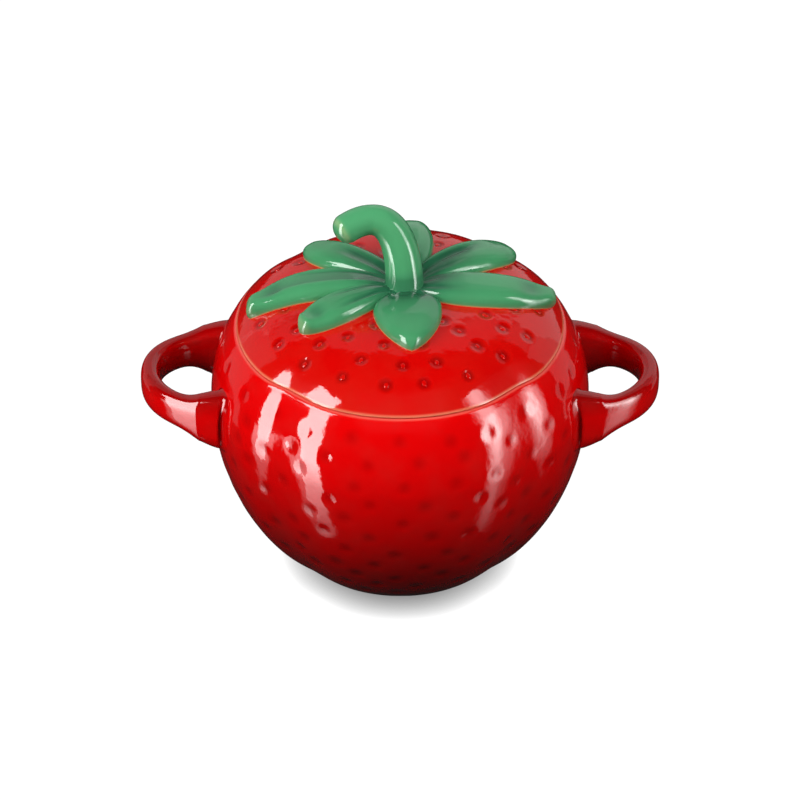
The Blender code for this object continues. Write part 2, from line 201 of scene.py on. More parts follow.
def inside_radius(height):
    """Radius of the bowl's smooth inside: full below the belly, then the crown's own curve less the wall."""
    if height >= BELLY_HEIGHT:
        return float(skin_profile(skin_turn(height))[0]) - BOWL_WALL
    share = (BELLY_HEIGHT - height) / (BELLY_HEIGHT - FLOOR_THICKNESS)
    return (BELLY_RADIUS - BOWL_WALL) * max(0.0, 1 - share**INSIDE_FULLNESS) ** (1 / INSIDE_FULLNESS)


foot_rings = [level_ring(FOOT_RECESS_RADIUS * share, FOOT_RECESS_DEPTH) for share in (0.4, 0.7, 0.94)]
foot_rings += [level_ring(FOOT_RECESS_RADIUS, FOOT_RECESS_DEPTH - 0.0003)]
foot_bend = FOOT_INNER_ROUND
foot_rings += arc_rings(FOOT_RECESS_RADIUS + foot_bend, foot_bend, foot_bend, 180, 270, 4)
foot_rings += arc_rings(FOOT_RADIUS - EDGE_ROUND, EDGE_ROUND, EDGE_ROUND, 270, 360)
skin_low = skin_turn(FOOT_HEIGHT)
skin_high = skin_turn(SEAM_HEIGHT - EDGE_ROUND)
foot_rings += [level_ring(FOOT_RADIUS + 0.0002, FOOT_HEIGHT - 0.0003)]
skin_turns = even_turns(skin_low, skin_high, SKIN_RINGS)
outside_rings = skin_rings(skin_turns)
rim_rings = seam_edge_rings(SEAM_HEIGHT, -1)[1:]
rim_middle = (skin_radius(AROUND, SEAM_HEIGHT) + MOUTH_RADIUS) / 2
rim_rings += [level_ring(rim_middle, SEAM_HEIGHT)]
rim_rings += arc_rings(MOUTH_RADIUS + EDGE_ROUND, SEAM_HEIGHT - EDGE_ROUND, EDGE_ROUND, 90, 180)
throat_end = SEAM_HEIGHT - MOUTH_DEPTH
shoulder = throat_end - BOWL_WALL
throat_rings = [level_ring(MOUTH_RADIUS, throat_end + 0.0008), level_ring(MOUTH_RADIUS + 0.0004, throat_end)]
inside_levels = shoulder + (FLOOR_THICKNESS - shoulder) * np.sin(np.linspace(0.0, 1.5, 30))
inside_rings = [level_ring(inside_radius(level), level) for level in inside_levels]
bowl_rings = foot_rings + outside_rings + rim_rings + throat_rings + inside_rings

# For each ring: how far the skin takes pits and ripples, how thin the glaze has run, and how much darker
# the red is made towards the foot, partly a sprayed gradient and partly painted shade.
skin_count = np.arange(SKIN_RINGS)
skin_share = np.clip(np.minimum(skin_count / 26, (SKIN_RINGS - 1 - skin_count) / 4), 0.0, 1.0)
after_skin = [0.0] * (len(bowl_rings) - len(foot_rings) - SKIN_RINGS)
bowl_skin = [0.0] * len(foot_rings) + list(skin_share) + after_skin
rim_thin = [0.0, 0.05, 0.15, 0.25, 0.3, 0.2, 0.1, 0.1, 0.4, 0.5, 0.4, 0.1]
bowl_thin = [0.0] * (len(foot_rings) + SKIN_RINGS) + rim_thin + [0.0] * (len(after_skin) - len(rim_thin))
# Painted shade, with a sprayed gradient: the red darkens from below the belly to the foot.
foot_darkening = np.clip((FOOT_DARKENING_FROM - skin_profile(skin_turns)[1]) / FOOT_DARKENING_OVER, 0.0, 1.0) ** 1.1
bowl_darkening = [FOOT_DARKENING_MOST] * len(foot_rings) + list(FOOT_DARKENING_MOST * foot_darkening) + after_skin
bowl = closed_shell("bowl", bowl_rings, skin=bowl_skin, glaze_thin=bowl_thin, glaze_pool=bowl_darkening)

PIT_ROW_PITCH = 0.0061
PIT_FIRST_ROW = 0.0060
PITS_AROUND = 24
PIT_RADIUS = 0.0031
PIT_DEPTH = 0.00022
PIT_CLEARANCE = 0.0030
HANDLE_BARE_WIDTH = 0.0245
HANDLE_BARE_LOW = 0.0430
HANDLE_BARE_HIGH = 0.0680


def skin_frame(azimuth, turn):
    """A point on the skin, with the directions straight out of it and up along it."""
    def at(a, t):
        crest, height = skin_profile(t)
        radius = crest - groove_depth(a, crest)
        return np.array([radius * math.cos(a), radius * math.sin(a), float(height)])
    place = at(azimuth, turn)
    up = at(azimuth, turn + 0.001) - at(azimuth, turn - 0.001)
    side = at(azimuth + 0.001, turn) - at(azimuth - 0.001, turn)
    out = np.cross(side, up)
    return place, out / np.linalg.norm(out), up / np.linalg.norm(up)


def pit_centres(name, pits):
    """Bare points, one for each pit, that carry the pit's radius and directions for the node trees."""
    mesh = bpy.data.meshes.new(name)
    mesh.from_pydata([place.tolist() for place, _, _, _ in pits], [], [])
    mesh.attributes.new("pit_radius", "FLOAT", "POINT").data.foreach_set("value", [pit[3] for pit in pits])
    for label, i in (("pit_out", 1), ("pit_up", 2)):
        directions = np.concatenate([pit[i] for pit in pits])
        mesh.attributes.new(label, "FLOAT_VECTOR", "POINT").data.foreach_set("vector", directions)
    points = bpy.data.objects.new(name, mesh)
    bpy.context.collection.objects.link(points)
    return points


chance = random.Random(7)
turns, lengths = measured_turns(skin_high, skin_low)
bowl_pits = []
for row in range(int((lengths[-1] - PIT_FIRST_ROW) / PIT_ROW_PITCH) + 1):
    for k in range(PITS_AROUND):
        along = PIT_FIRST_ROW + PIT_ROW_PITCH * (row + chance.uniform(-0.17, 0.17))
        azimuth = 2 * math.pi * (k + 0.5 * (row % 2) + chance.uniform(-0.16, 0.16)) / PITS_AROUND
        size = chance.uniform(0.88, 1.08)
        place, out, up = skin_frame(azimuth, float(np.interp(along, lengths, turns)))
        by_handle = abs(place[1]) < HANDLE_BARE_WIDTH and HANDLE_BARE_LOW < place[2] < HANDLE_BARE_HIGH
        if by_handle or place[2] < FOOT_HEIGHT + PIT_CLEARANCE:
            continue
        room = math.hypot(place[0], place[1]) * 2 * math.pi / PITS_AROUND
        bowl_pits.append((place, out, up, min(PIT_RADIUS, room * 0.36) * size))
bowl_pit_points = pit_centres("bowl pit points", bowl_pits)


def maths(tree, operation, *values):
    """A Math node over sockets and plain numbers; gives its result."""
    step = tree.nodes.new("ShaderNodeMath")
    step.operation = operation
    for socket, value in zip(step.inputs, values):
        if isinstance(value, bpy.types.NodeSocket):
            tree.links.new(value, socket)
        else:
            socket.default_value = value
    return step.outputs[0]


def node_tree(name, inputs):
    """A Geometry Nodes tree with a mesh in, a mesh out and these named inputs, and their identifiers."""
    tree = bpy.data.node_groups.new(name, "GeometryNodeTree")
    tree.interface.new_socket("Geometry", in_out="INPUT", socket_type="NodeSocketGeometry")
    keys = {}
    for label, kind in inputs.items():
        keys[label] = tree.interface.new_socket(label, in_out="INPUT", socket_type=kind).identifier
    tree.interface.new_socket("Geometry", in_out="OUTPUT", socket_type="NodeSocketGeometry")
    return tree, keys, tree.nodes.new("NodeGroupInput").outputs, tree.nodes.new("NodeGroupOutput").inputs


def finish_tree(tree, geometry, material, result):
    """Ends a tree in Realize Instances and Set Material."""
    realize = tree.nodes.new("GeometryNodeRealizeInstances")
    paint = tree.nodes.new("GeometryNodeSetMaterial")
    tree.links.new(geometry, realize.inputs["Geometry"])
    tree.links.new(realize.outputs["Geometry"], paint.inputs["Geometry"])
    tree.links.new(material, paint.inputs["Material"])
    tree.links.new(paint.outputs["Geometry"], result["Geometry"])


def attribute(tree, name, kind="FLOAT"):
    reading = tree.nodes.new("GeometryNodeInputNamedAttribute")
    reading.data_type = kind
    reading.inputs["Name"].default_value = name
    return reading.outputs["Attribute"]


def pit_tree():
    """Presses seed pits into a skin: each point finds its nearest pit and moves along its own normal."""
    tree, keys, given, result = node_tree("Seed pits", {
        "Pits": "NodeSocketObject", "Depth": "NodeSocketFloat", "Floor Share": "NodeSocketFloat",
        "Lip": "NodeSocketFloat", "Ripple": "NodeSocketFloat", "Ripple Scale": "NodeSocketFloat",
        "Pool": "NodeSocketFloat", "Material": "NodeSocketMaterial"})
    nodes, links = tree.nodes, tree.links
    centres = nodes.new("GeometryNodeObjectInfo")
    links.new(given["Pits"], centres.inputs["Object"])
    here = nodes.new("GeometryNodeInputPosition").outputs["Position"]
    nearest = nodes.new("GeometryNodeSampleNearest")
    links.new(centres.outputs["Geometry"], nearest.inputs["Geometry"])
    links.new(here, nearest.inputs["Sample Position"])

    def of_pit(value, kind):
        sample = nodes.new("GeometryNodeSampleIndex")
        sample.data_type = kind
        links.new(centres.outputs["Geometry"], sample.inputs["Geometry"])
        links.new(value, sample.inputs["Value"])
        links.new(nearest.outputs["Index"], sample.inputs["Index"])
        return sample.outputs["Value"]

    apart = nodes.new("ShaderNodeVectorMath")
    apart.operation = "DISTANCE"
    links.new(here, apart.inputs[0])
    links.new(of_pit(here, "FLOAT_VECTOR"), apart.inputs[1])
    share = maths(tree, "DIVIDE", apart.outputs["Value"], of_pit(attribute(tree, "pit_radius"), "FLOAT"))
    hollow = nodes.new("ShaderNodeMapRange")
    hollow.interpolation_type = "SMOOTHSTEP"
    links.new(share, hollow.inputs["Value"])
    links.new(given["Floor Share"], hollow.inputs["From Min"])
    hollow.inputs["To Min"].default_value = 1.0
    hollow.inputs["To Max"].default_value = 0.0
    off_lip = maths(tree, "DIVIDE", maths(tree, "SUBTRACT", share, 1.02), 0.2)
    lip = maths(tree, "EXPONENT", maths(tree, "MULTIPLY", maths(tree, "MULTIPLY", off_lip, off_lip), -1.0))
    ripple = nodes.new("ShaderNodeTexNoise")
    ripple.inputs["Detail"].default_value = 1.0
    links.new(here, ripple.inputs["Vector"])
    links.new(given["Ripple Scale"], ripple.inputs["Scale"])
    swell = maths(tree, "MULTIPLY", maths(tree, "SUBTRACT", ripple.outputs[0], 0.5), given["Ripple"])
    raised = maths(tree, "ADD", maths(tree, "MULTIPLY", lip, given["Lip"]), swell)
    pressed = maths(tree, "MULTIPLY", hollow.outputs["Result"], given["Depth"])
    skin = attribute(tree, "skin")
    move = nodes.new("ShaderNodeVectorMath")
    move.operation = "SCALE"
    links.new(nodes.new("GeometryNodeInputNormal").outputs["Normal"], move.inputs[0])
    links.new(maths(tree, "MULTIPLY", maths(tree, "SUBTRACT", raised, pressed), skin), move.inputs["Scale"])
    # Painted shade, with pooled glaze: each pit's hollow is made darker.
    pool = maths(tree, "MULTIPLY", maths(tree, "MULTIPLY", hollow.outputs["Result"], skin), given["Pool"])
    darkened = nodes.new("GeometryNodeStoreNamedAttribute")
    darkened.data_type = "FLOAT"
    darkened.domain = "POINT"
    darkened.inputs["Name"].default_value = "glaze_pool"
    links.new(given["Geometry"], darkened.inputs["Geometry"])
    links.new(maths(tree, "ADD", pool, attribute(tree, "glaze_pool")), darkened.inputs["Value"])
    place = nodes.new("GeometryNodeSetPosition")
    links.new(darkened.outputs["Geometry"], place.inputs["Geometry"])
    links.new(move.outputs["Vector"], place.inputs["Offset"])
    finish_tree(tree, place.outputs["Geometry"], given["Material"], result)
    return tree, keys


def grown(piece, tree, keys, **values):
    """Runs a tree on a piece and keeps the result as its plain mesh."""
    growth = piece.modifiers.new(tree.name, "NODES")
    growth.node_group = tree
    for label, value in values.items():
        growth[keys[label.replace("_", " ")]] = value
    piece.update_tag()
    graph = bpy.context.evaluated_depsgraph_get()
    plain = bpy.data.meshes.new_from_object(piece.evaluated_get(graph))
    piece.modifiers.remove(growth)
    piece.data = plain
    return piece


def glaze_colour_group():
    """Glaze colour: its body, deeper for pooled glaze and painted shade, paler where thin, faintly mottled.
    """
    group = bpy.data.node_groups.new("Glaze colour", "ShaderNodeTree")
    for label in ("Body", "Deep", "Thin"):
        group.interface.new_socket(label, in_out="INPUT", socket_type="NodeSocketColor")
    for label in ("Mottle Scale", "Mottle"):
        group.interface.new_socket(label, in_out="INPUT", socket_type="NodeSocketFloat")
    group.interface.new_socket("Colour", in_out="OUTPUT", socket_type="NodeSocketColor")
    nodes, links = group.nodes, group.links
    given = nodes.new("NodeGroupInput").outputs
    place = nodes.new("ShaderNodeTexCoord")
    cloud = nodes.new("ShaderNodeTexNoise")
    cloud.inputs["Detail"].default_value = 3.0
    links.new(place.outputs["Object"], cloud.inputs["Vector"])
    links.new(given["Mottle Scale"], cloud.inputs["Scale"])
    drift = maths(group, "MULTIPLY", maths(group, "SUBTRACT", cloud.outputs[0], 0.42), given["Mottle"])

    def share_of(name, add):
        reading = nodes.new("ShaderNodeAttribute")
        reading.attribute_name = name
        total = nodes.new("ShaderNodeMath")
        total.operation = "ADD"
        total.use_clamp = True
        links.new(reading.outputs["Fac"], total.inputs[0])
        links.new(add, total.inputs[1])
        return total.outputs[0]

    deep_share = share_of("glaze_pool", drift)
    thin_share = share_of("glaze_thin", maths(group, "MULTIPLY", drift, 0.15))
    colour = given["Body"]
    for label, amount in (("Deep", deep_share), ("Thin", thin_share)):
        mix = nodes.new("ShaderNodeMix")
        mix.data_type = "RGBA"
        links.new(amount, mix.inputs[0])
        links.new(colour, mix.inputs[6])
        links.new(given[label], mix.inputs[7])
        colour = mix.outputs[2]
    links.new(colour, nodes.new("NodeGroupOutput").inputs["Colour"])
    return group


def glaze_surface_group():
    """Fired surface of a glaze: a slow orange peel as height, and a roughness that wanders a little."""
    group = bpy.data.node_groups.new("Glaze surface", "ShaderNodeTree")
    for label in ("Peel Scale", "Gloss", "Gloss Drift"):
        group.interface.new_socket(label, in_out="INPUT", socket_type="NodeSocketFloat")
    for label in ("Height", "Roughness"):
        group.interface.new_socket(label, in_out="OUTPUT", socket_type="NodeSocketFloat")
    nodes, links = group.nodes, group.links
    given = nodes.new("NodeGroupInput").outputs
    result = nodes.new("NodeGroupOutput").inputs
    place = nodes.new("ShaderNodeTexCoord")
    peel = nodes.new("ShaderNodeTexNoise")
    peel.inputs["Detail"].default_value = 2.0
    links.new(place.outputs["Object"], peel.inputs["Vector"])
    links.new(given["Peel Scale"], peel.inputs["Scale"])
    links.new(peel.outputs[0], result["Height"])
    breath = nodes.new("ShaderNodeTexNoise")
    breath.inputs["Scale"].default_value = 70.0
    links.new(place.outputs["Object"], breath.inputs["Vector"])
    wander = maths(group, "MULTIPLY", maths(group, "SUBTRACT", breath.outputs[0], 0.5), given["Gloss Drift"])
    links.new(maths(group, "ADD", given["Gloss"], wander), result["Roughness"])
    return group


GLAZE_COLOUR = glaze_colour_group()
GLAZE_SURFACE = glaze_surface_group()


def glaze(name, body, deep, thin, mottle, gloss, peel):
    """A glossy fired glaze in these three colours."""
    material = bpy.data.materials.new(name)
    material.use_nodes = True
    nodes, links = material.node_tree.nodes, material.node_tree.links
    shader = nodes["Principled BSDF"]
    shader.inputs["IOR"].default_value = 1.6
    colour = nodes.new("ShaderNodeGroup")
    colour.node_tree = GLAZE_COLOUR
    for label, value in (("Body", body), ("Deep", deep), ("Thin", thin)):
        colour.inputs[label].default_value = (*value, 1.0)
    colour.inputs["Mottle Scale"].default_value = 140.0
    colour.inputs["Mottle"].default_value = mottle
    links.new(colour.outputs["Colour"], shader.inputs["Base Color"])
    surface = nodes.new("ShaderNodeGroup")
    surface.node_tree = GLAZE_SURFACE
    surface.inputs["Peel Scale"].default_value = 420.0
    surface.inputs["Gloss"].default_value = gloss
    surface.inputs["Gloss Drift"].default_value = 0.05
    links.new(surface.outputs["Roughness"], shader.inputs["Roughness"])
    bump = nodes.new("ShaderNodeBump")
    bump.inputs["Strength"].default_value = peel
    bump.inputs["Distance"].default_value = 0.0002
    links.new(surface.outputs["Height"], bump.inputs["Height"])
    links.new(bump.outputs["Normal"], shader.inputs["Normal"])
    return material


RED = (0.70, 0.0005, 0.001)
DEEP_RED = (0.16, 0.0, 0.0005)
THIN_RED = (0.90, 0.34, 0.25)
red_glaze = glaze("red glaze", RED, DEEP_RED, THIN_RED, 0.25, 0.07, 0.25)

PIT_TREE, PIT_KEYS = pit_tree()
# The bowl's pits are painted a little darker, as pooled glaze and as shade.
grown(bowl, PIT_TREE, PIT_KEYS, Pits=bowl_pit_points, Depth=PIT_DEPTH, Floor_Share=0.0, Lip=0.0,
      Ripple=0.00014, Ripple_Scale=90.0, Pool=0.28, Material=red_glaze)
bpy.data.objects.remove(bowl_pit_points)
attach(bowl, "pot")
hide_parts("pot_bowl")


# Handles
# Two loop straps of the same clay, luted to the bowl's sides: flat outside, rounder inside, and spread and
# swept up at the roots. A groove crosses the outer face where the strap meets the bowl. Their red is
# painted darker inside the loop, underneath, on top and in the groove: painted shade.

HANDLE_SPREAD = 0.0165
HANDLE_REACH = 0.0192
HANDLE_LOOP_FULLNESS = 2.06
HANDLE_LEVEL = 0.0569
HANDLE_TIP_RISE = 0.0014
HANDLE_ROOT_DROP = 0.0013
HANDLE_THICKNESS = 0.0056
HANDLE_ROOT_THICKNESS = 0.0097
HANDLE_HEIGHT = 0.0095
HANDLE_ROOT_HEIGHT = 0.0160
HANDLE_FLARE = 17
HANDLE_SQUARENESS = 3.2
HANDLE_INNER_SQUARENESS = 2.2
HANDLE_SWEEP = 0.0015
HANDLE_SWEEP_LATENESS = 20
HANDLE_INNER_SHADE = 0.88
HANDLE_UNDER_SHADE = 0.7
HANDLE_TOP_SHADE = 1.2
HANDLE_FREE_ANGLE = math.radians(76)
HANDLE_GROOVE = 0.0011
HANDLE_FILLET = 0.0013
HANDLE_SIDES = 72
HANDLE_STATIONS = 120
ROOT_SINK = 0.0002
ROOT_STATIONS = 30

# Shares of the way from the skin to the free strap.
ROOT_GROOVE_PLACE = 0.19
ROOT_GROOVE_WIDTH = 0.085
ROOT_FILLET_REACH = 0.06


def strap_section(angle, outset=0.0, groove=0.0):
    """The strap's rounded section at this angle round the loop, with the tip at 0, and its painted shade."""
    out = abs(math.cos(angle))
    side = abs(math.sin(angle))
    along = 2 / HANDLE_LOOP_FULLNESS
    flare = side**HANDLE_FLARE
    middle = np.array([
        math.sqrt(BELLY_RADIUS**2 - HANDLE_SPREAD**2) + HANDLE_REACH * out**along,
        math.copysign(HANDLE_SPREAD * side**along, angle),
        HANDLE_LEVEL + HANDLE_TIP_RISE * out**along - HANDLE_ROOT_DROP * flare])
    outward = np.array([
        HANDLE_SPREAD * out ** (2 - along),
        math.copysign(HANDLE_REACH * side ** (2 - along), angle),
        0.0])
    outward /= np.linalg.norm(outward)
    thickness = HANDLE_THICKNESS + (HANDLE_ROOT_THICKNESS - HANDLE_THICKNESS) * flare + 2 * outset
    height = HANDLE_HEIGHT + (HANDLE_ROOT_HEIGHT - HANDLE_HEIGHT) * flare + 2 * outset
    turn = 2 * math.pi * (np.arange(HANDLE_SIDES) + 0.5) / HANDLE_SIDES
    power = 2 / np.where(np.cos(turn) < 0, HANDLE_INNER_SQUARENESS, HANDLE_SQUARENESS)
    across = np.sign(np.cos(turn)) * np.abs(np.cos(turn)) ** power
    up = np.sign(np.sin(turn)) * np.abs(np.sin(turn)) ** power
    section = middle + np.outer(across * thickness / 2, outward) + np.outer(up * height / 2, (0.0, 0.0, 1.0))
    section[:, 2] += HANDLE_SWEEP * side**HANDLE_SWEEP_LATENESS * np.clip(up, 0.0, 1.0)
    outer = np.clip(across * 1.5, 0.0, 1.0) * (1 - np.abs(up) ** 3)
    section -= np.outer(groove * outer, outward)
    # Painted shade: the red darkens inside the loop, underneath, on top and in the groove.
    inner = np.clip(-across * 1.6 - 0.2, 0.0, 1.0) * (HANDLE_INNER_SHADE - 0.12 * up)
    lower = np.clip(-up - 0.35, 0.0, 1.0) * HANDLE_UNDER_SHADE
    upper = np.clip(up - 0.35, 0.0, 1.0) * HANDLE_TOP_SHADE
    groove_shade = outer * groove / HANDLE_GROOVE
    return section, np.maximum.reduce([inner, lower, upper, groove_shade])


def seat_x(y, height):
    """How far out the skin lies on the handle's side, at a place given by y and height."""
    x = np.full(len(y), BELLY_RADIUS)
    for _ in range(6):
        x = np.sqrt(np.maximum(0.0, skin_radius(np.arctan2(y, x), height) ** 2 - y * y))
    return x


def root_rings(side):
    """The strap's end on one arm, from the free strap over the groove and the fillet onto the skin."""
    start, _ = strap_section(side * HANDLE_FREE_ANGLE)
    start_off = start[:, 0] - seat_x(start[:, 1], start[:, 2])
    rings = []
    for left in np.linspace(0.98, 0.0, ROOT_STATIONS) ** 1.4:
        groove = HANDLE_GROOVE * math.exp(-(((left - ROOT_GROOVE_PLACE) / ROOT_GROOVE_WIDTH) ** 2))
        fillet = HANDLE_FILLET * math.exp(-left / ROOT_FILLET_REACH)
        angle = math.pi / 2 - (math.pi / 2 - HANDLE_FREE_ANGLE) * left
        # pool here is the strap's painted shade, not pooled glaze.
        ring, pool = strap_section(side * angle, fillet, groove)
        ring[:, 0] = seat_x(ring[:, 1], ring[:, 2]) + start_off * left - ROOT_SINK
        rings.append((ring, pool))
    return rings


free_angles = np.linspace(-HANDLE_FREE_ANGLE, HANDLE_FREE_ANGLE, HANDLE_STATIONS)
strap_rings = root_rings(-1)[::-1] + [strap_section(angle) for angle in free_angles] + root_rings(1)
strap_shade = [pool for _, pool in strap_rings]
for name, facing in (("right", 1), ("left", -1)):
    rings = [ring * (facing, facing, 1.0) for ring, _ in strap_rings]
    handle = closed_shell(f"{name}_strap", rings, glaze_pool=strap_shade, glaze_thin=[0.0] * len(rings))
    handle.data.materials.append(red_glaze)
    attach(handle, "pot")
    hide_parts(f"handle_{name}")


# Lid
# The fruit's hollow crown, cast apart from the bowl, with a round flange under it that drops into the bowl's
# throat. Its red is a little more orange, and darker than the bowl's as painted shade; it is palest at the
# edge, and each of its small pits, painted dark as pooled glaze and as shade, holds a seed.

LID_WALL = 0.0045
FLANGE_CLEARANCE = 0.0006
FLANGE_DEPTH = 0.0045
FLANGE_WALL = 0.0032
FLANGE_INNER_ROUND = 0.0008
SEAT_GAP = 0.0003
LID_PIT_RADIUS = 0.0025
LID_PIT_DEPTH = 0.00030
LID_EDGE_PALE = 0.3
LID_EDGE_PALE_WIDTH = 0.0003
LID_HAZE = 0.012
LID_HAZE_REACH = 0.004
SEED_WIDTH = 0.0013
SEED_LENGTH = 0.0019
SEED_HEIGHT = 0.0003

# Of each row of pits: distance from the axis, count, and direction of the first from the front in degrees.
LID_PIT_ROWS = ((0.0383, 20, -79), (0.0322, 18, -41), (0.0255, 15, -33), (0.0190, 12, 8))


def crown_height(crest):
    rim = np.minimum(1.0, np.asarray(crest) / BELLY_RADIUS)
    return BELLY_HEIGHT + CROWN_RISE * (1 - rim**CROWN_FULLNESS) ** (1 / CROWN_ROUNDNESS)


lid_edge = SEAM_HEIGHT + SEAT_GAP
flange_outer = MOUTH_RADIUS - FLANGE_CLEARANCE
flange_inner = flange_outer - FLANGE_WALL
flange_end = SEAM_HEIGHT - FLANGE_DEPTH
hollow_radii = flange_inner * np.sin(np.linspace(0.03, math.pi / 2, 26))
lid_rings = [level_ring(radius, crown_height(radius) - LID_WALL) for radius in hollow_radii]
flange_bend = FLANGE_INNER_ROUND
lid_rings += arc_rings(flange_inner + flange_bend, flange_end + flange_bend, flange_bend, 180, 270, 4)
lid_rings += arc_rings(flange_outer - EDGE_ROUND, flange_end + EDGE_ROUND, EDGE_ROUND, 270, 360)
lid_rings += [level_ring(flange_outer, lid_edge - 0.0004), level_ring(flange_outer + 0.0004, lid_edge)]
lid_rings += [level_ring((skin_radius(AROUND, lid_edge) + flange_outer) / 2, lid_edge)]
under_count = len(lid_rings)
edge_rings = seam_edge_rings(lid_edge, 1)[:0:-1]
turns, lengths = measured_turns(skin_turn(lid_edge + EDGE_ROUND), math.pi / 2 - 1e-4)
off_edge = np.concatenate([np.linspace(0.0, 0.0012, 9)[:-1], np.linspace(0.0012, lengths[-1], 108)])
lid_rings += edge_rings + skin_rings(np.interp(off_edge, lengths, turns))
lid_skin = [0.0] * (under_count + len(edge_rings)) + list(np.clip(off_edge / 0.002, 0.0, 1.0))
edge_thin = [0.1, 0.2, 0.35, 0.45, 0.45, 0.4]
skin_thin = LID_HAZE * np.exp(-off_edge / LID_HAZE_REACH)
skin_thin += LID_EDGE_PALE * np.exp(-((off_edge / LID_EDGE_PALE_WIDTH) ** 2))
lid_thin = [0.0] * under_count + edge_thin + list(skin_thin)
lid = closed_shell("lid", lid_rings, skin=lid_skin, glaze_thin=lid_thin, glaze_pool=[0.0] * len(lid_rings))

lid_pits = []
for radius, count, start in LID_PIT_ROWS:
    for k in range(count):
        crest = radius + chance.uniform(-0.0006, 0.0006)
        azimuth = math.radians(start - 90 + 360 / count * (k + chance.uniform(-0.12, 0.12)))
        turn = math.acos((crest / BELLY_RADIUS) ** (CROWN_FULLNESS / 2))
        place, out, up = skin_frame(azimuth, turn)
        lid_pits.append((place, out, up, LID_PIT_RADIUS * chance.uniform(0.9, 1.1)))
lid_pit_points = pit_centres("lid pit points", lid_pits)


def seed_tree():
    """Sets one small seed in each pit, long way up the skin, on the pit's own directions."""
    tree, keys, given, result = node_tree("Seeds", {
        "Width": "NodeSocketFloat", "Length": "NodeSocketFloat", "Height": "NodeSocketFloat",
        "Sink": "NodeSocketFloat", "Seed": "NodeSocketInt", "Material": "NodeSocketMaterial"})
    nodes, links = tree.nodes, tree.links
    grain = nodes.new("GeometryNodeMeshUVSphere")
    grain.inputs["Segments"].default_value = 10
    grain.inputs["Rings"].default_value = 6
    grain.inputs["Radius"].default_value = 0.5
    smooth = nodes.new("GeometryNodeSetShadeSmooth")
    links.new(grain.outputs["Mesh"], smooth.inputs["Geometry"])
    upright = nodes.new("FunctionNodeAlignRotationToVector")
    upright.axis = "Z"
    links.new(attribute(tree, "pit_out", "FLOAT_VECTOR"), upright.inputs["Vector"])
    turned = nodes.new("FunctionNodeAlignRotationToVector")
    turned.axis = "Y"
    turned.pivot_axis = "Z"
    links.new(upright.outputs["Rotation"], turned.inputs["Rotation"])
    links.new(attribute(tree, "pit_up", "FLOAT_VECTOR"), turned.inputs["Vector"])
    sunk = nodes.new("ShaderNodeVectorMath")
    sunk.operation = "SCALE"
    links.new(attribute(tree, "pit_out", "FLOAT_VECTOR"), sunk.inputs[0])
    links.new(maths(tree, "MULTIPLY", given["Sink"], -1.0), sunk.inputs["Scale"])
    moved = nodes.new("GeometryNodeSetPosition")
    links.new(given["Geometry"], moved.inputs["Geometry"])
    links.new(sunk.outputs["Vector"], moved.inputs["Offset"])
    unlike = nodes.new("FunctionNodeRandomValue")
    unlike.inputs[2].default_value = 0.75
    unlike.inputs[3].default_value = 1.15
    links.new(given["Seed"], unlike.inputs["Seed"])
    size = nodes.new("ShaderNodeCombineXYZ")
    for axis, label in zip("XYZ", ("Width", "Length", "Height")):
        links.new(maths(tree, "MULTIPLY", given[label], unlike.outputs[1]), size.inputs[axis])
    scatter = nodes.new("GeometryNodeInstanceOnPoints")
    links.new(moved.outputs["Geometry"], scatter.inputs["Points"])
    links.new(smooth.outputs["Geometry"], scatter.inputs["Instance"])
    links.new(turned.outputs["Rotation"], scatter.inputs["Rotation"])
    links.new(size.outputs["Vector"], scatter.inputs["Scale"])
    finish_tree(tree, scatter.outputs["Instances"], given["Material"], result)
    return tree, keys


# The lid's red is darker than the bowl's: painted shade for the crown's dimmer light.
LID_RED = (0.58, 0.0015, 0.001)
LID_DEEP_RED = (0.25, 0.0, 0.0005)
LID_THIN_RED = (0.95, 0.42, 0.22)
lid_red_glaze = glaze("lid red glaze", LID_RED, LID_DEEP_RED, LID_THIN_RED, 0.2, 0.07, 0.25)
# The lid's pits are painted darker, as pooled glaze and as shade.
grown(lid, PIT_TREE, PIT_KEYS, Pits=lid_pit_points, Depth=LID_PIT_DEPTH, Floor_Share=0.3, Lip=0.00003,
      Ripple=0.00022, Ripple_Scale=60.0, Pool=0.75, Material=lid_red_glaze)
lid_seeds = bpy.data.objects.new("lid_seeds", lid_pit_points.data)
bpy.context.collection.objects.link(lid_seeds)
SEED_TREE, SEED_KEYS = seed_tree()
grown(lid_seeds, SEED_TREE, SEED_KEYS, Width=SEED_WIDTH, Length=SEED_LENGTH, Height=SEED_HEIGHT,
      Sink=LID_PIT_DEPTH, Seed=5, Material=lid_red_glaze)
bpy.data.objects.remove(lid_pit_points)
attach(lid, "lid")
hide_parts("lid_shell")
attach(lid_seeds, "lid")


# Leaves
# The calyx: seven thick clay leaves of unlike length, folded along their length, laid on the crown round the
# stem and covered in one green glaze. A thin warm line of bare edge shows where they meet the red. Their
# green is painted darker near the stem and in the folds and tip hollows, as shade and as pooled glaze.

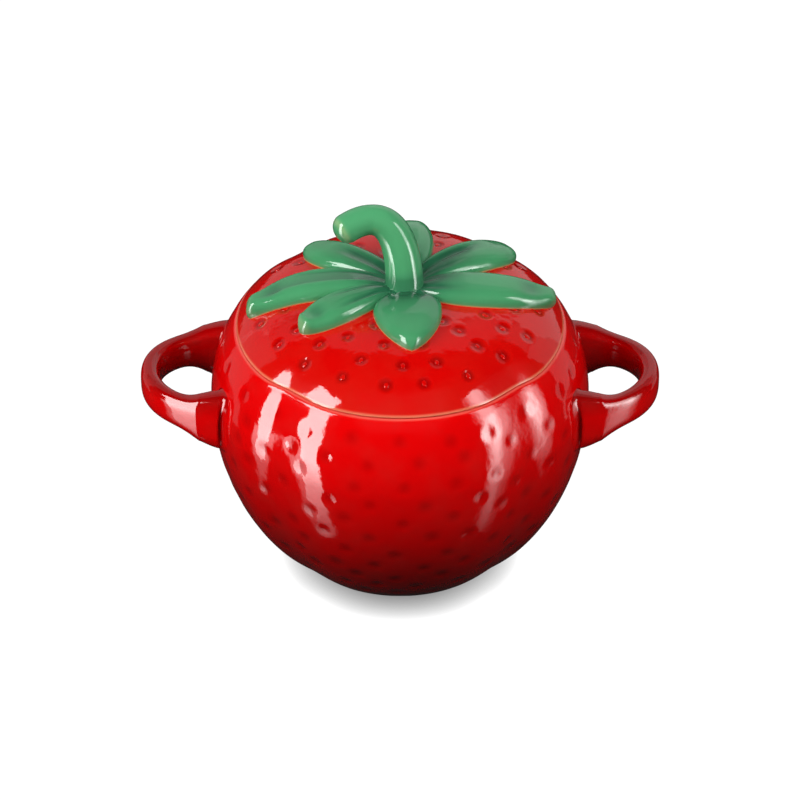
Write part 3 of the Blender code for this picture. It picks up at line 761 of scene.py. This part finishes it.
CALYX_OFFSET = 0.0012
LEAF_LENGTH = 0.0400
LEAF_WIDTH = 0.0150
LEAF_THICKNESS = 0.0045
LEAF_EDGE_DROP = 0.16
LEAF_TIP_THINNING = 0.0010
LEAF_ROOT = 0.0035
LEAF_ROOT_SHARE = 0.75
LEAF_TIP_ROUNDNESS = 2.2
LEAF_SIDE = 5
LEAF_SHOULDER = 2.5
LEAF_TIP_START = 0.84
LEAF_SINK = 0.0002
LEAF_BORDER_EASE = 0.0010
LEAF_NUB_PLACE = 0.94
LEAF_NUB_SPAN = 0.05
LEAF_HOLLOW_SHARE = 0.55
LEAF_HOLLOW_PLACE = 0.80
LEAF_HOLLOW_SPAN = 0.07
LEAF_HOLLOW_WIDTH = 0.5
LEAF_DIP_SHARE = 0.4
LEAF_DIP_START = 0.0055
LEAF_DIP_SPAN = 0.0045
LEAF_SHADE = 0.95
LEAF_SHADE_START = 0.0070
LEAF_SHADE_SPAN = 0.0075
LEAF_FOLD_DARKENING_DEPTH = 0.0013
LEAF_TIP_PALE = 0.35
LEAF_BARE_HEIGHT = 0.0007
LEAF_STATIONS = 96
LEAF_TOP = 64
LEAF_UNDER = 12

# Of each leaf: length and width shares, widest place, sharpness of the tip, direction from the front towards
# the right side, bend of the tip and border to the next leaf in degrees, height of the nub at its tip, and
# its folds as place across, depth, width, start and end.
LEAVES = {
    "leaf_front": (0.70, 1.28, 0.20, 0.75, 4, 0, 56, 0.0, (
        (0.0, 0.00072, 0.12, -0.1, 0.75), (-0.42, 0.0006, 0.14, -0.2, 0.3), (0.42, 0.0006, 0.14, -0.2, 0.3))),
    "leaf_right": (1.02, 0.93, 0.42, 0.55, 83, 12, 108.5, 0.0013, (
        (0.35, 0.0006, 0.30, -0.2, 0.35), (-0.45, 0.00048, 0.20, -0.2, 0.4))),
    "leaf_back_right": (0.95, 0.90, 0.60, 0.45, 129, 0, 150, 0.0002, (
        (0.30, 0.00156, 0.24, -0.1, 0.75), (-0.35, 0.0006, 0.28, -0.1, 0.55))),
    "leaf_back": (0.86, 0.90, 0.50, 0.50, 176, 0, 203, 0.0002, ((0.1, 0.0012, 0.25, -0.1, 0.8),)),
    "leaf_back_left": (0.87, 0.80, 0.60, 0.50, 231, 0, 248, 0.0002, ((-0.05, 0.00156, 0.24, -0.1, 0.70),)),
    "leaf_left": (1.06, 0.88, 0.40, 0.55, 267, 7.5, 283, 0.0014, (
        (-0.35, 0.0006, 0.16, -0.1, 0.75), (0.15, 0.00072, 0.16, -0.1, 0.9))),
    "leaf_front_left": (0.83, 0.82, 0.50, 0.55, 300, 3, 318, 0.0013, (
        (-0.45, 0.00048, 0.15, -0.1, 0.7), (0.0, 0.00096, 0.15, -0.1, 0.85),
        (0.45, 0.0006, 0.15, -0.1, 0.7))),
}


def crown_place(x, y):
    """Points on the crown's skin over x and y, with the skin's directions out."""
    def height_at(x, y):
        radius = np.hypot(x, y)
        azimuth = np.arctan2(y, x)
        crest = radius
        for _ in range(4):
            crest = radius + groove_depth(azimuth, crest)
        return crown_height(crest)
    step = 0.0002
    slope_x = (height_at(x + step, y) - height_at(x - step, y)) / (2 * step)
    slope_y = (height_at(x, y + step) - height_at(x, y - step)) / (2 * step)
    out = np.column_stack([-slope_x, -slope_y, np.ones(len(x))])
    return np.column_stack([x, y, height_at(x, y)]), out / np.linalg.norm(out, axis=1)[:, None]


def leaf_half_width(share, width, widest, sharpness):
    if share < widest:
        return width / 2 * (1 - (1 - LEAF_ROOT_SHARE) * ((widest - share) / widest) ** 2)
    ahead = (share - widest) / (1 - widest)
    return width / 2 * max(0.0, 1 - ahead**LEAF_TIP_ROUNDNESS) ** sharpness


def softer_min(a, b):
    return (a**-6 + b**-6) ** (-1 / 6)


def leaf_rings(name):
    """Leaf sections, root to tip, and per point how thin or bare its glaze is and its painted shade and
    pooling.
    """
    length, width, widest, sharpness, degrees, bend, border_after, nub, folds = LEAVES[name]
    names = list(LEAVES)
    i = names.index(name)
    border_before = LEAVES[names[i - 1]][6] - (360 if i == 0 else 0)
    angle = np.linspace(0.0, math.pi, LEAF_TOP)
    top_v = np.sign(np.cos(angle)) * np.abs(np.cos(angle)) ** (2 / LEAF_SIDE)
    top_rise = np.sin(angle).clip(0.0) ** (2 / LEAF_SHOULDER)
    v = np.concatenate([top_v, np.linspace(-1, 1, LEAF_UNDER + 2)[1:-1]])
    rise = np.concatenate([top_rise, np.zeros(LEAF_UNDER)])
    rings, thin, pool, line = [], [], [], []
    for share in np.sin(np.linspace(0.0, math.pi / 2, LEAF_STATIONS)) * 0.9995:
        distance = LEAF_ROOT + (LEAF_LENGTH * length - LEAF_ROOT) * share
        direction = math.radians(degrees + bend * share**2)
        half = max(leaf_half_width(share, LEAF_WIDTH * width, widest, sharpness), 0.00005)
        rooms = (direction - math.radians(border_before), math.radians(border_after) - direction)
        limits = []
        for room in rooms:
            to_border = distance * math.tan(room) + LEAF_BORDER_EASE
            limits.append(softer_min(half, to_border) if room < math.pi / 2 else half)
        across = v * np.where(v > 0, limits[1], limits[0])
        x = CALYX_OFFSET + math.sin(direction) * distance + math.cos(direction) * across
        y = -math.cos(direction) * distance + math.sin(direction) * across
        seat, out = crown_place(x, y)
        ending = max(0.0, (share - LEAF_TIP_START) / (1 - LEAF_TIP_START))
        thickness = LEAF_THICKNESS * (1 - LEAF_EDGE_DROP * v**2) - LEAF_TIP_THINNING * share**3
        hollow = LEAF_HOLLOW_SHARE * math.exp(-(((share - LEAF_HOLLOW_PLACE) / LEAF_HOLLOW_SPAN) ** 2))
        hollow = hollow * np.exp(-((v / LEAF_HOLLOW_WIDTH) ** 2))
        thickness = thickness + nub * (math.exp(-(((share - LEAF_NUB_PLACE) / LEAF_NUB_SPAN) ** 2)) - hollow)
        dip = LEAF_DIP_SHARE * math.exp(-max(0.0, distance - LEAF_DIP_START) / LEAF_DIP_SPAN)
        thickness = thickness * (1 - dip)
        folded = np.zeros(len(v))
        for place, depth, spread, start, end in folds:
            reach = min(1.0, max(0.0, (share - start) / 0.2)) * min(1.0, max(0.0, (end - share) / 0.25))
            folded += depth * reach * np.exp(-(((v - place) / spread) ** 2))
        height = (thickness - folded) * rise * (1 - ending**2.4) ** 0.42
        rings.append(seat + out * (height - LEAF_SINK)[:, None])
        # Painted shade: the green darkens near the stem, and in folds and tip hollows, partly as pooled
        # glaze.
        by_stem = LEAF_SHADE * math.exp(-max(0.0, distance - LEAF_SHADE_START) / LEAF_SHADE_SPAN)
        pool.append(np.clip((folded + nub * hollow) / LEAF_FOLD_DARKENING_DEPTH + by_stem, 0.0, 0.9) * rise)
        pale = LEAF_TIP_PALE * math.exp(-(((share - 0.97) / 0.03) ** 2)) if nub > 0.0005 else 0.0
        thin.append(pale * rise)
        line.append(np.clip(1 - height / LEAF_BARE_HEIGHT, 0.0, 1.0))
    return rings, thin, pool, line


LEAF_GREEN = (0.062, 0.30, 0.125)
LEAF_DEEP_GREEN = (0.012, 0.088, 0.044)
LEAF_THIN_GREEN = (0.42, 0.52, 0.25)
BARE_EDGE = (0.78, 0.30, 0.11)
leaf_green_glaze = glaze("leaf green glaze", LEAF_GREEN, LEAF_DEEP_GREEN, LEAF_THIN_GREEN, 0.35, 0.09, 0.25)
leaf_nodes, leaf_links = leaf_green_glaze.node_tree.nodes, leaf_green_glaze.node_tree.links
leaf_line = leaf_nodes.new("ShaderNodeAttribute")
leaf_line.attribute_name = "bare_edge"
leaf_mix = leaf_nodes.new("ShaderNodeMix")
leaf_mix.data_type = "RGBA"
leaf_shader = leaf_nodes["Principled BSDF"]
leaf_links.new(leaf_line.outputs["Fac"], leaf_mix.inputs[0])
leaf_links.new(leaf_shader.inputs["Base Color"].links[0].from_socket, leaf_mix.inputs[6])
leaf_mix.inputs[7].default_value = (*BARE_EDGE, 1.0)
leaf_links.new(leaf_mix.outputs[2], leaf_shader.inputs["Base Color"])
for name in LEAVES:
    rings, thin, pool, line = leaf_rings(name)
    leaf = closed_shell(f"{name}_blade", rings, glaze_thin=thin, glaze_pool=pool, bare_edge=line)
    leaf.data.materials.append(leaf_green_glaze)
    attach(leaf, "lid")
    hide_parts(name)


# Stem
# The lid's knob, a solid rolled stem that stands up from the calyx and hooks over to the left, luted on among
# the leaves' roots and glazed green. Its blunt end shows paler round the edge, where the glaze drew back.

STEM_ROOT_RADIUS = 0.0056
STEM_RADIUS = 0.0050
STEM_TIP_RADIUS = 0.0041
STEM_TAPER_END = 0.75
STEM_TAPER_LATENESS = 1.6
STEM_TIP_BULGE = 0.0035
STEM_ROOT_FLARE = 0.0040
STEM_ROOT_PULL = (0.0, 0.0035, 0.0165)
STEM_HOOK_PULL = (-0.0058, 0.0080, 0.0212)
STEM_TIP = (-0.0156, 0.0026, 0.0173)
STEM_SHADE = 0.5
STEM_SHADE_START = 0.004
STEM_SHADE_SPAN = 0.0015
STEM_TIP_PALE = 0.40
STEM_SIDES = 64
STEM_STATIONS = 130


def stem_ring(middle, ahead, radius):
    up = np.cross(ahead, (0.0, 1.0, 0.0))
    up /= np.linalg.norm(up)
    side = np.cross(up, ahead)
    turn = 2 * math.pi * np.arange(STEM_SIDES) / STEM_SIDES
    return middle + np.outer(np.cos(turn) * radius, side) + np.outer(np.sin(turn) * radius, up)


stem_foot = np.array([CALYX_OFFSET, 0.0, float(crown_height(0.0)) + SEAT_GAP])
stem_tip = stem_foot + STEM_TIP
pull_up = stem_foot + STEM_ROOT_PULL
pull_over = stem_foot + STEM_HOOK_PULL
stem_rings, stem_thin, stem_foot_shade = [], [], []
for t in np.linspace(0.0, 1.0, STEM_STATIONS):
    u = 1 - t
    middle = stem_foot * u**3 + pull_up * (3 * u * u * t) + pull_over * (3 * u * t * t) + stem_tip * t**3
    ahead = (pull_up - stem_foot) * (u * u) + (pull_over - pull_up) * (2 * u * t)
    ahead += (stem_tip - pull_over) * (t * t)
    flare = math.exp(-(middle[2] - stem_foot[2]) / STEM_ROOT_FLARE)
    taper = (STEM_TIP_RADIUS - STEM_RADIUS) * min(1.0, t / STEM_TAPER_END) ** STEM_TAPER_LATENESS
    radius = STEM_RADIUS + taper + (STEM_ROOT_RADIUS - STEM_RADIUS) * flare
    stem_rings.append(stem_ring(middle, ahead / np.linalg.norm(ahead), radius))
    stem_thin.append(0.0)
    # Painted shade at the stem's foot, among the leaves' roots.
    shade = STEM_SHADE * math.exp(-(middle[2] - stem_foot[2] - STEM_SHADE_START) / STEM_SHADE_SPAN)
    stem_foot_shade.append(min(0.6, shade) if t < 0.5 else 0.0)
tip_ahead = (stem_tip - pull_over) / np.linalg.norm(stem_tip - pull_over)
for angle in np.radians(np.linspace(6, 87, 16)):
    middle = stem_tip + tip_ahead * (STEM_TIP_BULGE * math.sin(angle))
    stem_rings.append(stem_ring(middle, tip_ahead, STEM_TIP_RADIUS * math.cos(angle)))
    stem_thin.append(STEM_TIP_PALE * math.exp(-(((math.degrees(angle) - 32) / 14) ** 2)))
    stem_foot_shade.append(0.0)

STEM_GREEN = (0.072, 0.33, 0.14)
stem_green_glaze = glaze("stem green glaze", STEM_GREEN, LEAF_DEEP_GREEN, LEAF_THIN_GREEN, 0.3, 0.08, 0.2)
stem = closed_shell("stem", stem_rings, glaze_thin=stem_thin, glaze_pool=stem_foot_shade)
stem.data.materials.append(stem_green_glaze)
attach(stem, "lid")
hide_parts("stem_knob")


# Table and light
# A white table in a dim room: white to the camera only, with its shadow round the foot painted on from an
# occlusion node rather than cast by the lamps. Tall soft boxes on both sides and dim panels behind show only
# as highlights in the glaze. Fills from the front, both sides and behind light its colours.

TABLE_SHADOW_REACH = 0.0068
TABLE_GLOW = 0.83
TABLE_SHADOW_GLOW = 0.175

floor_mesh = bpy.data.meshes.new("table")
floor_mesh.from_pydata([(-4, -4, 0), (4, -4, 0), (4, 4, 0), (-4, 4, 0)], [], [(0, 1, 2, 3)])
floor = bpy.data.objects.new("table", floor_mesh)
bpy.context.collection.objects.link(floor)
table_white = bpy.data.materials.new("table white")
table_white.use_nodes = True
table_shader = table_white.node_tree.nodes["Principled BSDF"]
table_shader.inputs["Base Color"].default_value = (0.05, 0.05, 0.05, 1.0)
table_shader.inputs["Roughness"].default_value = 0.6
table_shader.inputs["Specular IOR Level"].default_value = 0.0
table_shader.inputs["Emission Color"].default_value = (1.0, 1.0, 1.0, 1.0)
table_tree = table_white.node_tree
# Painted shadow: the table's glow dims where the pot is near, by ambient occlusion.
table_painted_shadow = table_tree.nodes.new("ShaderNodeAmbientOcclusion")
table_painted_shadow.inputs["Distance"].default_value = TABLE_SHADOW_REACH
table_seen = table_tree.nodes.new("ShaderNodeLightPath").outputs["Is Camera Ray"]
table_glow = maths(table_tree, "MULTIPLY_ADD", table_painted_shadow.outputs["AO"], TABLE_GLOW, TABLE_SHADOW_GLOW)
table_shown = maths(table_tree, "MULTIPLY", table_glow, table_seen)
table_tree.links.new(table_shown, table_shader.inputs["Emission Strength"])
floor_mesh.materials.append(table_white)
floor.visible_diffuse = False
floor.visible_glossy = False


def box_light(name, place, aim, width, height, radiance):
    """A flat box light that faces a point; radiance is how bright its face is."""
    lamp = bpy.data.lights.new(name, "AREA")
    lamp.shape = "RECTANGLE"
    lamp.size = width
    lamp.size_y = height
    lamp.energy = radiance * math.pi * width * height
    light = bpy.data.objects.new(name, lamp)
    light.location = place
    light.rotation_euler = (Vector(aim) - Vector(place)).to_track_quat("-Z", "Y").to_euler()
    bpy.context.collection.objects.link(light)
    return light


def around(degrees, distance, height):
    """A place at that bearing from the front, turning towards the right side."""
    return (math.sin(math.radians(degrees)) * distance, -math.cos(math.radians(degrees)) * distance, height)


def fade_face(lamp, soft, even_from, fall):
    """Dims a box light towards its sides, over a share of its width, and down below a place on its face."""
    lamp.use_nodes = True
    tree = lamp.node_tree
    face = tree.nodes.new("ShaderNodeSeparateXYZ")
    tree.links.new(tree.nodes.new("ShaderNodeNewGeometry").outputs["Parametric"], face.inputs["Vector"])
    off_middle = maths(tree, "ABSOLUTE", maths(tree, "SUBTRACT", face.outputs["X"], 0.5))
    sides = tree.nodes.new("ShaderNodeMapRange")
    sides.interpolation_type = "SMOOTHSTEP"
    tree.links.new(off_middle, sides.inputs["Value"])
    sides.inputs["From Min"].default_value = 0.5 - soft
    sides.inputs["From Max"].default_value = 0.5
    sides.inputs["To Min"].default_value = 1.0
    sides.inputs["To Max"].default_value = 0.0
    below = maths(tree, "MINIMUM", maths(tree, "SUBTRACT", face.outputs["Y"], even_from), 0.0)
    down = maths(tree, "EXPONENT", maths(tree, "DIVIDE", below, fall))
    strength = maths(tree, "MULTIPLY", sides.outputs["Result"], down)
    tree.links.new(strength, tree.nodes["Emission"].inputs["Strength"])


# Of each tall box: bearing in degrees, heights of its ends, width, radiance, soft share of its width at each
# side, and the height below which it dims, with the length over which it does.
for name, bearing, low, high, width, radiance, soft, even_above, fall in (
        ("left box", -60.5, -1.50, 0.47, 0.35, 10.5, 0.04, -0.20, 0.38),
        ("left box far", -73, -1.50, -0.12, 0.22, 3.0, 0.40, -0.20, 0.38),
        ("left box top", -65, 0.47, 1.10, 0.54, 10.5, 0.04, 0.47, 1.0),
        ("right box", 64.2, -1.40, 0.38, 0.35, 10.5, 0.44, 0.10, 0.38),
        ("right box top", 64.5, 0.38, 1.12, 0.53, 6.3, 0.46, 0.38, 1.0),
        ("right box far", 73, -1.40, 0.38, 0.40, 3.6, 0.46, 0.10, 0.38)):
    level = (low + high) / 2
    mirrored = box_light(name, around(bearing, 1.0, level), (0, 0, level), width, high - low, radiance)
    mirrored.visible_diffuse = False
    fade_face(mirrored.data, soft, (even_above - low) / (high - low), fall / (high - low))
for name, place, aim, width, tall, radiance in (
        ("left wall", (-1.25, 0.70, 0.25), (0, 0.70, 0.25), 0.74, 1.50, 0.28),
        ("right wall", (1.30, 0.75, 0.25), (0, 0.75, 0.25), 0.64, 1.50, 0.35),
        ("back panel left", (-0.65, 1.05, 0.55), (-0.65, 0, 0.55), 1.3, 0.95, 0.35),
        ("back panel right", (0.65, 1.05, 0.55), (0.65, 0, 0.55), 1.3, 0.95, 0.6),
        ("back panel top", (0.0, 0.78, 1.05), (0, 0.78, 0), 2.6, 0.50, 0.22)):
    mirrored = box_light(name, place, aim, width, tall, radiance)
    mirrored.visible_diffuse = False
for name, bearing, distance, height, size, radiance in (
        ("front fill", 0, 0.90, 1.06, 1.2, 3.10), ("left fill", -67, 0.87, 0.56, 0.5, 11.0),
        ("right fill", 75, 0.87, 0.56, 0.5, 6.5), ("back fill", 180, 1.20, 0.32, 0.8, 4.0)):
    fill = box_light(name, around(bearing, distance, height), (0, 0, 0.06), size, size, radiance)
    fill.visible_glossy = False

world = bpy.data.worlds.new("room")
world.use_nodes = True
world_nodes, world_links = world.node_tree.nodes, world.node_tree.links
room_side = world_nodes.new("ShaderNodeTexCoord")
room_height = world_nodes.new("ShaderNodeSeparateXYZ")
room_level = world_nodes.new("ShaderNodeMapRange")
room_level.inputs["From Min"].default_value = -0.15
room_level.inputs["From Max"].default_value = 1.0
room_level.inputs["To Min"].default_value = 0.28
room_level.inputs["To Max"].default_value = 0.05
world_links.new(room_side.outputs["Generated"], room_height.inputs["Vector"])
world_links.new(room_height.outputs["Z"], room_level.inputs["Value"])
world_links.new(room_level.outputs["Result"], world_nodes["Background"].inputs["Strength"])
bpy.context.scene.world = world
